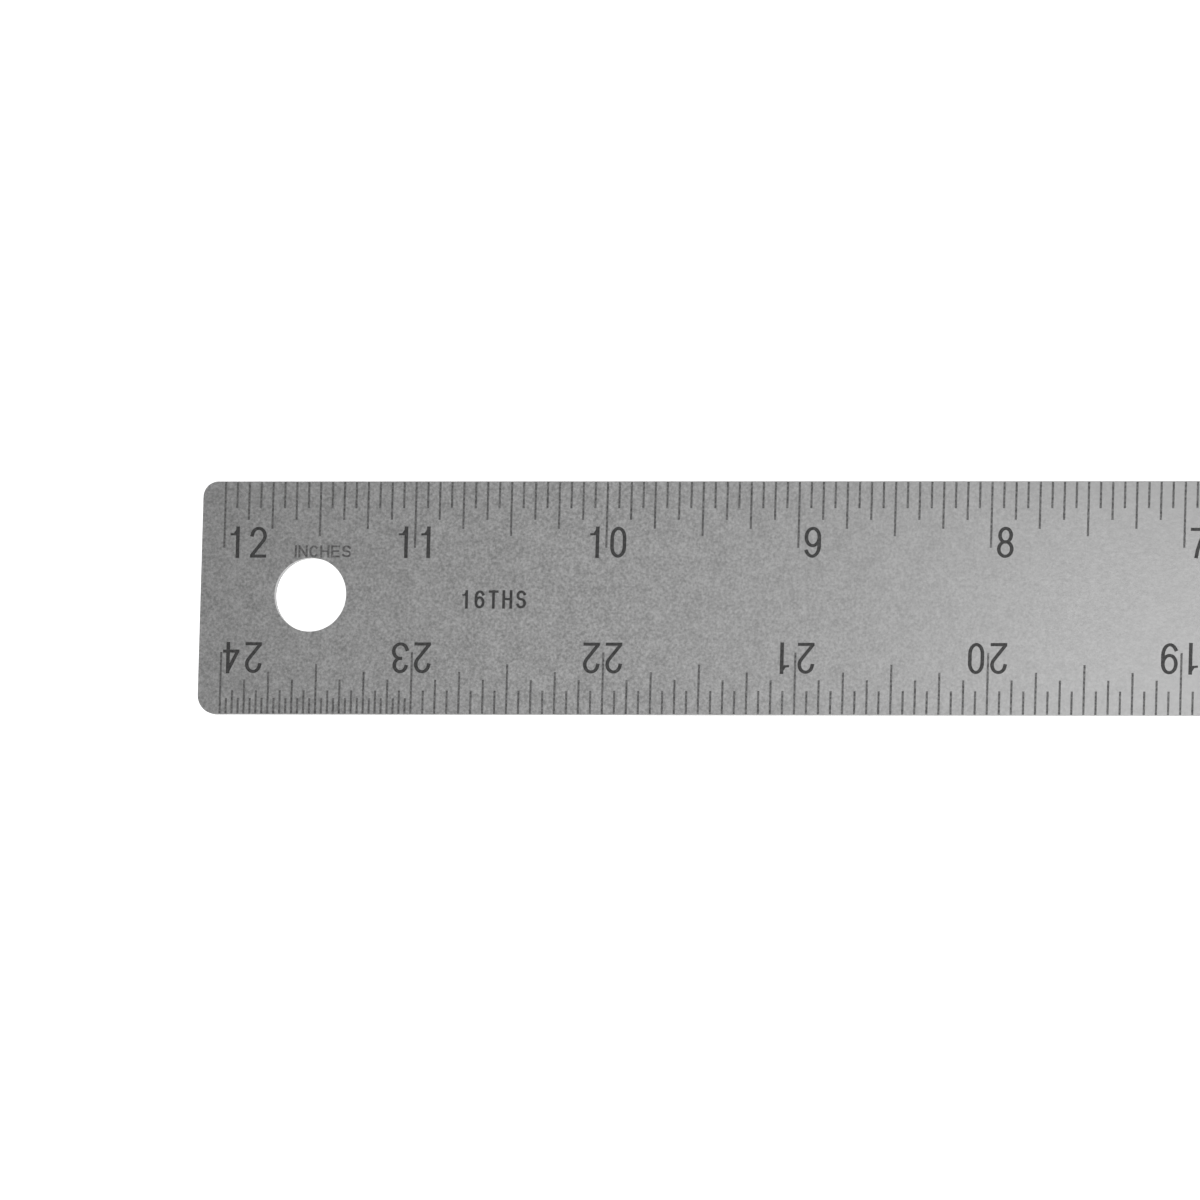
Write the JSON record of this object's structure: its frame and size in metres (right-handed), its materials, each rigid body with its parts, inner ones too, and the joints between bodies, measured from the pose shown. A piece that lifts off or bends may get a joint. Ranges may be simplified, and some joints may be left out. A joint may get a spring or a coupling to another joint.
{
  "type": "steel ruler",
  "caption": "Long thin steel rule with two etched inch scales, one centred on zero, a hang hole at one end and a non-slip cork strip glued underneath.",
  "frame": {"origin": "under the zero mark at the middle of the rule, in the plane that the cork stands on", "axes": "+X along the rule from the hang hole to the plain end, +Y towards the edge with the centred scale, +Z out of the graduated face"},
  "size_m": [0.6156, 0.0302, 0.0021],
  "materials": {
    "steel": "satin, fine blasted grain",
    "enamel": "matt black infill",
    "adhesive": "clear acrylic film, slightly yellow",
    "cork": "fine granular, matt"
  },
  "bodies": {
    "root": {"blade": "steel", "adhesive_film": "adhesive", "cork_backing": "cork"}
  },
  "joints": []
}
